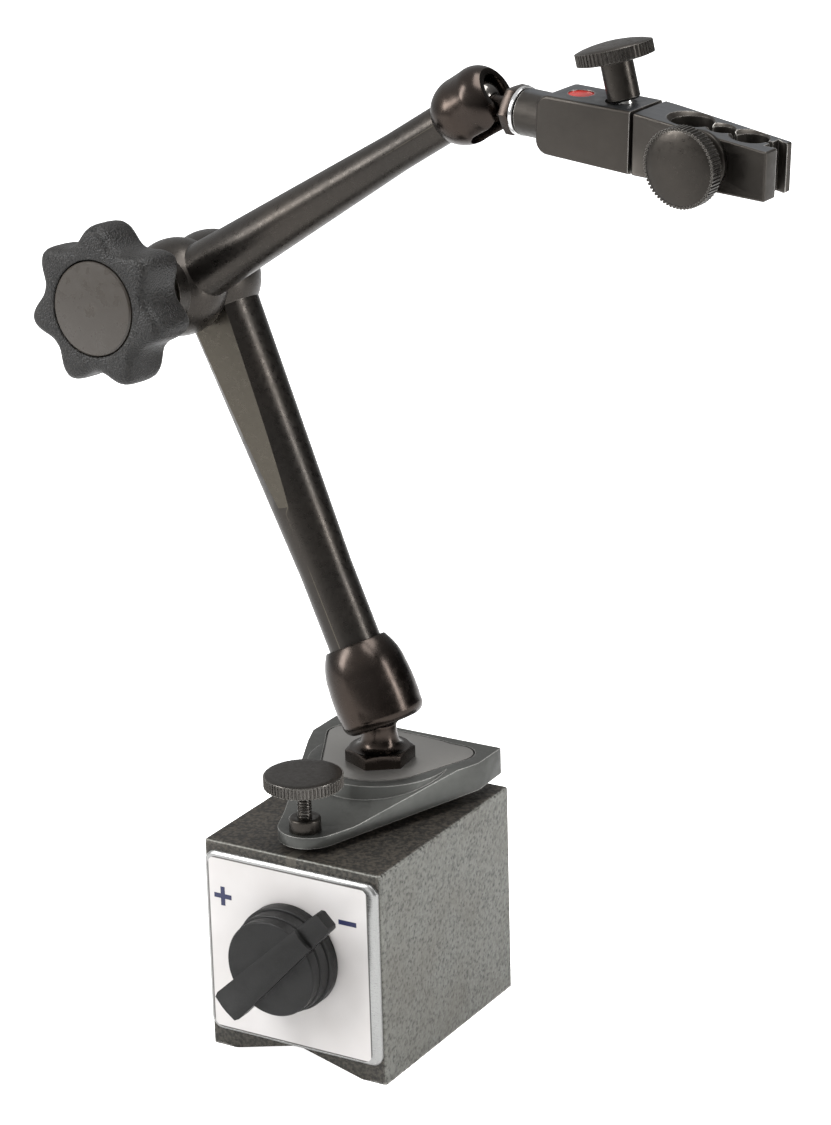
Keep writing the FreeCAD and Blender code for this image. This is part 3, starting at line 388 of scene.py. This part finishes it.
# ---------------------------------------------------------------- magnet and switch
# A sintered magnet between two turned iron segments on a steel spindle.  Outside it
# carries a moulded black knob with a lever bar that points to the printed marks.
bright_steel = Finish("bright_steel", (0.58, 0.57, 0.55), 0.26, 1.0)
tool_marks = bright_steel.noise(800, 2.0)
bright_steel.colour(bright_steel.mix(tool_marks, (0.48, 0.47, 0.45), (0.68, 0.67, 0.65)))
bright_steel.roughness(bright_steel.ramp(tool_marks, 0.3, 0.7, 0.2, 0.36))
bright_steel.bump((tool_marks, 0.1, 0.00002))
dress(bright_steel, ["rotor_pole_segments", "switch_spindle", "switch_stop_pin",
                     "plate_pivot_pin", "saddle_screws", "lower_thrust_cup", "lower_push_rod",
                     "clamp_stud", "upper_thrust_cup", "upper_push_rod", "head_pivot_pin",
                     "lock_set_screw", "head_screw_shank", "side_screw_shank"], edge=0.08)
sintered = Finish("sintered_magnet", (0.10, 0.10, 0.105), 0.6, 0.4)
sintered.bump((sintered.noise(1500, 4.0), 0.5, 0.00008))
dress(sintered, ["bar_magnet"], edge=0.1)

moulded = Finish("moulded_black", (0.018, 0.018, 0.019), 0.42)
grain = moulded.noise(2600, 3.0)
moulded.colour(moulded.mix(moulded.noise(60, 3.0), (0.004, 0.004, 0.004), (0.012, 0.0115, 0.011)))
moulded.shader.inputs["Specular IOR Level"].default_value = 0.3
moulded.roughness(moulded.ramp(moulded.noise(240, 3.0), 0.3, 0.7, 0.34, 0.55))
moulded.bump((grain, 0.45, 0.0001))
dress(moulded, ["switch_knob"], edge=0.25)

# ---------------------------------------------------------------- rocking plate
# A fine-cast plate finished in gunmetal, with a satin aluminium pad inlaid round the
# ball stud.  It rocks on a cross pin in the saddle behind and two coil springs.
gunmetal = Finish("gunmetal", (0.075, 0.072, 0.066), 0.42, 0.75)
cast = gunmetal.noise(500, 4.0)
worn = gunmetal.edges(0.0005, 0.95)
body_tone = gunmetal.mix(gunmetal.noise(40, 3.0), (0.062, 0.063, 0.059), (0.105, 0.107, 0.100))
gunmetal.colour(gunmetal.mix(worn, body_tone, (0.50, 0.49, 0.47)))
gunmetal.roughness(gunmetal.ramp(cast, 0.3, 0.7, 0.34, 0.52))
gunmetal.bump((cast, 0.18, 0.00006))
dress(gunmetal, ["rocker_plate", "pivot_saddle"], edge=0.2)

pad_finish = Finish("inlaid_pad", (0.42, 0.43, 0.43), 0.36, 0.8)
pad_grain = pad_finish.noise(700, 3.0, pad_finish.stretched((1, 14, 1)))
pad_finish.colour(pad_finish.mix(pad_grain, (0.20, 0.195, 0.185), (0.30, 0.29, 0.275)))
pad_finish.roughness(pad_finish.ramp(pad_grain, 0.3, 0.7, 0.30, 0.45))
pad_finish.bump((pad_grain, 0.12, 0.00003))
dress(pad_finish, ["plate_insert"], edge=0.1)
dress(bright_steel, ["plate_return_springs", "return_leaf_spring"], edge=0.0, crease=60)

# ---------------------------------------------------------------- thumbscrews
# Turned steel screws with straight-knurled heads, blued black.  The ribs are rolled
# in, so their crests are worn bright, and the threads are cut and left plain.
blued = Finish("blued_steel", (0.035, 0.032, 0.029), 0.34, 0.9)
blued_tone = blued.mix(blued.noise(70, 3.0), (0.022, 0.020, 0.018), (0.060, 0.053, 0.046))
blued_worn = blued.edges(0.00025, 0.45)
blued.colour(blued.mix(blued_worn, blued_tone, (0.50, 0.48, 0.45)))
blued_fine = blued.noise(900, 3.0)
blued.roughness(blued.ramp(blued_fine, 0.3, 0.7, 0.26, 0.42))
blued.bump((blued_fine, 0.12, 0.00003))
dress(blued, ["thumbscrew_bush", "clamp_washer", "side_screw_spacer"], edge=0.15)


def ring_of(shape, count, reach, height):
    """Points round Z at a height; reach gives the radius at each angle, both in mm."""
    angles = [2 * math.pi * i / count for i in range(count)]
    return [shape.verts.new((reach(angle) * math.cos(angle) * MM,
                             reach(angle) * math.sin(angle) * MM, height * MM))
            for angle in angles]


def bridge(shape, low, high):
    """Faces between two rings; either one may be a single point."""
    count = max(len(low), len(high))
    for i in range(count):
        j = (i + 1) % count
        corners = (low[i % len(low)], low[j % len(low)], high[j % len(high)], high[i % len(high)])
        unique = list(dict.fromkeys(corners))
        if len(unique) > 2:
            shape.faces.new(unique)


def lathe(name, profile, material, segments=96):
    """A turned piece about Z from (radius, height) steps in mm, closed at both ends."""
    shape = bmesh.new()
    rings = [ring_of(shape, segments if radius else 1, lambda angle: radius, height)
             for radius, height in profile]
    for low, high in zip(rings, rings[1:]):
        bridge(shape, low, high)
    return settle(shape, name, material, smooth=True)


def soften(made, crease=34):
    """Sharp where the profile turns sharply, smooth round the axis."""
    made.data.set_sharp_from_angle(angle=math.radians(crease))
    return made


def rib_tree():
    """Half-round ribs stood round a rim, square to it."""
    tree, given, out = piece_tree(
        "rim_ribs", ("Count", "Int"), ("Rim Radius", "Float"), ("Rib Radius", "Float"),
        ("Rib Height", "Float"), ("Low", "Float"), ("Finish", "Material"))
    new, link = tree.nodes.new, tree.links.new
    ring = new("GeometryNodeMeshCircle")
    rib = new("GeometryNodeMeshCone")
    rib.inputs["Vertices"].default_value = 6
    shift = new("ShaderNodeCombineXYZ")
    move = new("GeometryNodeTransform")
    stand = new("GeometryNodeInstanceOnPoints")
    real = new("GeometryNodeRealizeInstances")
    joined = new("GeometryNodeJoinGeometry")
    coat = new("GeometryNodeSetMaterial")
    link(given["Count"], ring.inputs["Vertices"])
    link(given["Rim Radius"], ring.inputs["Radius"])
    link(given["Rib Radius"], rib.inputs["Radius Top"])
    link(given["Rib Radius"], rib.inputs["Radius Bottom"])
    link(given["Rib Height"], rib.inputs["Depth"])
    link(given["Low"], shift.inputs["Z"])
    link(rib.outputs["Mesh"], move.inputs["Geometry"])
    link(shift.outputs[0], move.inputs["Translation"])
    link(ring.outputs["Mesh"], stand.inputs["Points"])
    link(move.outputs["Geometry"], stand.inputs["Instance"])
    link(stand.outputs["Instances"], real.inputs["Geometry"])
    link(given["Geometry"], joined.inputs["Geometry"])
    link(real.outputs["Geometry"], joined.inputs["Geometry"])
    link(joined.outputs["Geometry"], coat.inputs["Geometry"])
    link(given["Finish"], coat.inputs["Material"])
    link(coat.outputs["Geometry"], out["Geometry"])
    return tree


def thread_tree():
    """A screw thread: a four-sided wire wound up a rod."""
    tree, given, out = piece_tree(
        "screw_thread", ("Root Radius", "Float"), ("Pitch", "Float"), ("Length", "Float"),
        ("Finish", "Material"))
    new, link = tree.nodes.new, tree.links.new
    turns = new("ShaderNodeMath")
    turns.operation = "DIVIDE"
    helix = new("GeometryNodeCurveSpiral")
    helix.inputs["Resolution"].default_value = 28
    wire = new("GeometryNodeCurvePrimitiveCircle")
    wire.inputs["Resolution"].default_value = 4
    size = new("ShaderNodeMath")
    size.operation = "MULTIPLY"
    size.inputs[1].default_value = 0.42
    sweep = new("GeometryNodeCurveToMesh")
    sweep.inputs["Fill Caps"].default_value = True
    joined = new("GeometryNodeJoinGeometry")
    coat = new("GeometryNodeSetMaterial")
    real = new("GeometryNodeRealizeInstances")
    link(given["Length"], turns.inputs[0])
    link(given["Pitch"], turns.inputs[1])
    link(turns.outputs[0], helix.inputs["Rotations"])
    link(given["Root Radius"], helix.inputs["Start Radius"])
    link(given["Root Radius"], helix.inputs["End Radius"])
    link(given["Length"], helix.inputs["Height"])
    link(given["Pitch"], size.inputs[0])
    link(size.outputs[0], wire.inputs["Radius"])
    link(helix.outputs["Curve"], sweep.inputs["Curve"])
    link(wire.outputs["Curve"], sweep.inputs["Profile Curve"])
    link(given["Geometry"], joined.inputs["Geometry"])
    link(sweep.outputs["Mesh"], joined.inputs["Geometry"])
    link(joined.outputs["Geometry"], real.inputs["Geometry"])
    link(real.outputs["Geometry"], coat.inputs["Geometry"])
    link(given["Finish"], coat.inputs["Material"])
    link(coat.outputs["Geometry"], out["Geometry"])
    return tree


def grow(made, tree, **values):
    """Runs a Geometry Nodes tree on a piece and keeps the result as its plain mesh."""
    modifier = made.modifiers.new("grow", "NODES")
    modifier.node_group = tree
    for item in tree.interface.items_tree:
        key = item.name.replace(" ", "_")
        if item.in_out == "INPUT" and key in values:
            modifier[item.identifier] = values[key]
    bpy.context.view_layer.update()
    shown = made.evaluated_get(bpy.context.evaluated_depsgraph_get())
    result = bpy.data.meshes.new_from_object(shown)
    made.modifiers.remove(modifier)
    made.data = result


def stand_at(made, point, axis):
    """Bakes a piece's place into its mesh: its Z goes along the axis."""
    upright = Vector(axis).to_track_quat("Z", "Y").to_matrix().to_4x4()
    made.data.transform(Matrix.Translation(point) @ upright)


rim_ribs, screw_thread = rib_tree(), thread_tree()


def knurled_head(name, profile, rim, low, high, count, joint, lift, node, body):
    """A turned head with ribs round its rim, standing on its joint's axis."""
    head = soften(lathe(name, profile, blued.material), 28)
    grow(head, rim_ribs, Count=count, Rim_Radius=rim * MM, Rib_Radius=0.36 * MM,
         Rib_Height=(high - low) * MM, Low=low * MM, Finish=blued.material)
    axis = Vector(joints[joint]["axis"])
    stand_at(head, Vector(joints[joint]["pos_m"]) + axis * lift * MM, axis)
    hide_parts(node)
    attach(head, body)


base_disc_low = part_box("base_screw_head")[0].z / MM - joints["base_screw_spin"]["pos_m"][2] / MM
knurled_head(
    "base_thumbscrew",
    [(0, 0.02), (1.9, 0.02), (9.0, 0.02), (9.35, 0.15), (9.45, 0.3), (9.45, 2.95), (9.35, 3.12),
     (9.15, 3.2), (7.6, 3.2), (4.0, 3.2), (0, 3.2)],
    9.40, 0.2, 3.0, 62, "base_screw_spin", base_disc_low, "base_screw_head", "base_thumb")

SHANK_ROOT, SHANK_PITCH, SHANK_TIP = 1.52, 0.7, 0.6
shank_low, shank_high = (corner.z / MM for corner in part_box("base_screw_shank"))
base_thread = lathe("base_screw_thread", [
    (0, -SHANK_TIP), (1.1, -SHANK_TIP), (SHANK_ROOT, 0.5 - SHANK_TIP),
    (SHANK_ROOT, shank_high - shank_low - SHANK_TIP),
    (0, shank_high - shank_low - SHANK_TIP)], blued.material, 32)
grow(base_thread, screw_thread, Root_Radius=SHANK_ROOT * MM, Pitch=SHANK_PITCH * MM,
     Length=(shank_high - shank_low - 2) * MM, Finish=blued.material)
thread_at = Vector(joints["base_screw_spin"]["pos_m"])
stand_at(base_thread, (thread_at.x, thread_at.y, (shank_low + SHANK_TIP) * MM), (0, 0, 1))
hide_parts("base_screw_shank")
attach(base_thread, "base_feed")

# ---------------------------------------------------------------- ball studs and sockets
# Turned, hardened and polished, then blued: the hexagon collars, the waisted necks
# and the slotted ball sockets shine more than the rest.  The balls are chromed, but
# are coloured a dark steel here as painted shade of the socket cavity.
polished = Finish("polished_oxide", (0.05, 0.042, 0.036), 0.16, 1.0)
polished.colour(polished.mix(polished.noise(45, 4.0), (0.024, 0.023, 0.023),
                             (0.068, 0.051, 0.041)))
polished.roughness(polished.ramp(polished.noise(500, 3.0), 0.3, 0.7, 0.20, 0.30))
polished.bump((polished.noise(90, 3.0), 0.06, 0.0001))
dress(polished, ["lower_ball_stud", "lower_socket", "upper_socket", "upper_ball_stud"], edge=0.22)
chrome = Finish("bright_chrome", (0.66, 0.66, 0.66), 0.08, 1.0)
chrome.roughness(chrome.ramp(chrome.noise(600, 2.0), 0.3, 0.7, 0.06, 0.14))
dress(chrome, ["head_washer"], edge=0.1)
# Painted shade: the chromed balls get a dark steel colour for the shaded socket cavity.
shaded_ball = Finish("hardened_ball", (0.16, 0.15, 0.14), 0.16, 1.0)
shaded_ball.roughness(shaded_ball.ramp(shaded_ball.noise(600, 2.0), 0.3, 0.7, 0.12, 0.22))
dress(shaded_ball, ["lower_ball", "upper_ball"], edge=0.1)

# ---------------------------------------------------------------- arms
# Two tapered steel tubes, each with half a ball hub, blued to a satin brown-black.
# Their flat parting faces turn on the clamp stud.
arm_oxide = Finish("arm_oxide", (0.045, 0.038, 0.034), 0.32, 0.9)
arm_tone = arm_oxide.mix(arm_oxide.noise(28, 3.0), (0.030, 0.029, 0.028), (0.060, 0.051, 0.043))
# Painted reflection: faces square to the elbow axis are lightened to a flat taupe.
flatness = arm_oxide.dot(arm_oxide.normal, joints["elbow"]["axis"])
arm_tone = arm_oxide.mix(arm_oxide.ramp(flatness, 0.9996, 0.9999), arm_tone,
                         (0.085, 0.076, 0.062))
arm_oxide.colour(arm_oxide.mix(arm_oxide.edges(0.0003, 0.4), arm_tone, (0.36, 0.34, 0.31)))
arm_fine = arm_oxide.noise(700, 3.0)
arm_oxide.roughness(arm_oxide.ramp(arm_fine, 0.3, 0.7, 0.24, 0.38))
arm_oxide.bump((arm_fine, 0.08, 0.00002))
dress(arm_oxide, ["lower_arm", "upper_arm"], edge=0.08, crease=14)

# ---------------------------------------------------------------- clamp knob
# One moulding with seven finger lobes and a grained skin, a brass thread insert
# behind, and a smooth grey-brown cap snapped into its face.
brass = Finish("machined_brass", (0.62, 0.47, 0.22), 0.28, 1.0)
brass.roughness(brass.ramp(brass.noise(700, 2.0), 0.3, 0.7, 0.22, 0.36))
dress(brass, ["knob_insert"], edge=0.1)

KNOB_LOBES, LOBE_TIP, LOBE_ROOT = 7, 19.85, 15.95
KNOB_TURN = math.radians(-11)
knob_axis = Vector(joints["knob_spin"]["axis"])
KNOB_FOOT_BACK = 9.7
knob_foot = Vector(joints["knob_spin"]["pos_m"]) - knob_axis * KNOB_FOOT_BACK * MM


def lobe_radius(angle):
    """Seven blunt tips with broad hollows between them."""
    wave = 0.5 + 0.5 * math.cos(KNOB_LOBES * (angle - KNOB_TURN))
    return LOBE_ROOT + (LOBE_TIP - LOBE_ROOT) * wave ** 1.3


knob_rings = [          # height in mm, how far inside the lobed outline, radius of the round part
    (0.0, None, 8.4), (1.0, None, 8.9), (3.5, None, 9.5), (5.0, None, 10.0), (5.8, 6.0, 11.0),
    (6.2, 3.6, None), (6.7, 2.1, None), (7.5, 1.1, None), (8.8, 0.45, None), (10.5, 0.15, None),
    (13.0, 0.0, None), (17.0, 0.05, None), (18.6, 0.25, None), (19.6, 0.6, None),
    (20.3, 1.2, None), (20.7, 1.9, None), (20.88, 2.7, None), (20.9, None, 11.95),
    (20.82, None, 11.7), (20.5, None, 11.56), (18.92, None, 11.54)]
KNOB_STEPS = KNOB_LOBES * 28
INSERT_RADIUS, INSERT_DEPTH = 6.02, 12.6


def knob_reach(angle, inset, round_part):
    """How far the moulding reaches: lobed, round, or a blend where the neck flares."""
    if inset is None:
        return round_part
    lobed = lobe_radius(angle) - inset
    return 0.75 * round_part + 0.25 * lobed if round_part else lobed


knob_shape = bmesh.new()
rings = [ring_of(knob_shape, KNOB_STEPS, lambda angle: knob_reach(angle, inset, round_part),
                 height) for height, inset, round_part in knob_rings]
for low, high in zip(rings, rings[1:]):
    bridge(knob_shape, low, high)
knob_shape.faces.new(rings[-1])
bore_foot, bore_top = (ring_of(knob_shape, KNOB_STEPS, lambda angle: INSERT_RADIUS, height)
                       for height in (0.0, INSERT_DEPTH))
bridge(knob_shape, bore_top, bore_foot)
bridge(knob_shape, bore_foot, rings[0])
knob_shape.faces.new(bore_top)
grained = Finish("grained_plastic", (0.016, 0.016, 0.017), 0.5)
skin = grained.noise(1700, 4.0)
pores = grained.cells(2200)
grained.colour(grained.mix(grained.ramp(skin, 0.35, 0.7), (0.006, 0.006, 0.006),
                           (0.024, 0.022, 0.020)))
grained.shader.inputs["Specular IOR Level"].default_value = 0.35
grained.roughness(grained.ramp(skin, 0.3, 0.7, 0.34, 0.5))
grained.bump((pores, 0.9, 0.00022), (skin, 0.5, 0.00012))
lobed_knob = settle(knob_shape, "lobed_knob", grained.material, smooth=True)
soften(lobed_knob, 50)
stand_at(lobed_knob, knob_foot, knob_axis)
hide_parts("clamp_knob")
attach(lobed_knob, "knob")

cap_finish = Finish("smooth_cap", (0.20, 0.18, 0.165), 0.30)
cap_finish.colour(cap_finish.mix(cap_finish.noise(25, 1.0), (0.044, 0.037, 0.030),
                                 (0.054, 0.046, 0.038)))
cap_finish.roughness(cap_finish.ramp(cap_finish.noise(400, 3.0), 0.3, 0.7, 0.24, 0.36))
dress(cap_finish, ["knob_cap"], edge=0.12)

# ---------------------------------------------------------------- fine-adjust head
# Milled steel block and split clamp, blued, with bright worn edges; a red lacquer
# seal covers the locking screw and two knurled screws set height and grip.
head_oxide = Finish("head_oxide", (0.032, 0.029, 0.026), 0.38, 0.85)
head_tone = head_oxide.mix(head_oxide.noise(60, 4.0), (0.034, 0.031, 0.028), (0.068, 0.060, 0.052))
# Painted reflection: faces turned upwards are lightened towards a cool grey.
head_up = head_oxide.node("ShaderNodeSeparateXYZ", Vector=head_oxide.normal)
head_tone = head_oxide.mix(head_oxide.ramp(head_up.outputs["Z"], 0.90, 0.97, 0.0, 0.6), head_tone,
                           (0.13, 0.14, 0.155))
head_oxide.colour(head_oxide.mix(head_oxide.edges(0.0005, 0.95), head_tone, (0.55, 0.53, 0.50)))
head_fine = head_oxide.noise(500, 4.0)
head_oxide.roughness(head_oxide.ramp(head_fine, 0.3, 0.7, 0.30, 0.46))
head_oxide.bump((head_fine, 0.15, 0.00005))
dress(head_oxide, ["adjust_block", "clamp_body"], edge=0.22)

lacquer = Finish("red_lacquer", (0.50, 0.02, 0.015), 0.25)
lacquer.colour(lacquer.mix(lacquer.noise(300, 2.0), (0.42, 0.015, 0.012), (0.60, 0.04, 0.03)))
lacquer.bump((lacquer.noise(350, 2.0), 0.3, 0.0001))
dress(lacquer, ["red_seal"], edge=0.15)

knurled_head(
    "head_thumbscrew",
    [(0, 6.05), (3.2, 6.05), (3.7, 6.55), (3.7, 14.6), (3.9, 14.95), (7.7, 15.05), (8.25, 15.25),
     (8.5, 15.55), (8.5, 18.05), (8.3, 18.25), (7.2, 18.6), (5.2, 19.0), (2.8, 19.3), (0, 19.4)],
    8.47, 15.3, 18.1, 52, "head_screw_spin", 0.0, "head_screw_post", "head_thumb")

CLAMP_HALF_WIDTH, SPACER_TOP = 6.5, 5.45
knurled_head(
    "side_thumbscrew",
    [(0, 0.02), (8.0, 0.02), (8.6, 0.2), (8.7, 0.4), (8.7, 3.2), (8.45, 3.45), (7.6, 3.75),
     (6.0, 4.1), (3.3, 4.38), (0, 4.48)],
    8.66, 0.25, 3.55, 62, "side_screw_spin", CLAMP_HALF_WIDTH + SPACER_TOP, "side_screw_head",
    "side_thumb")
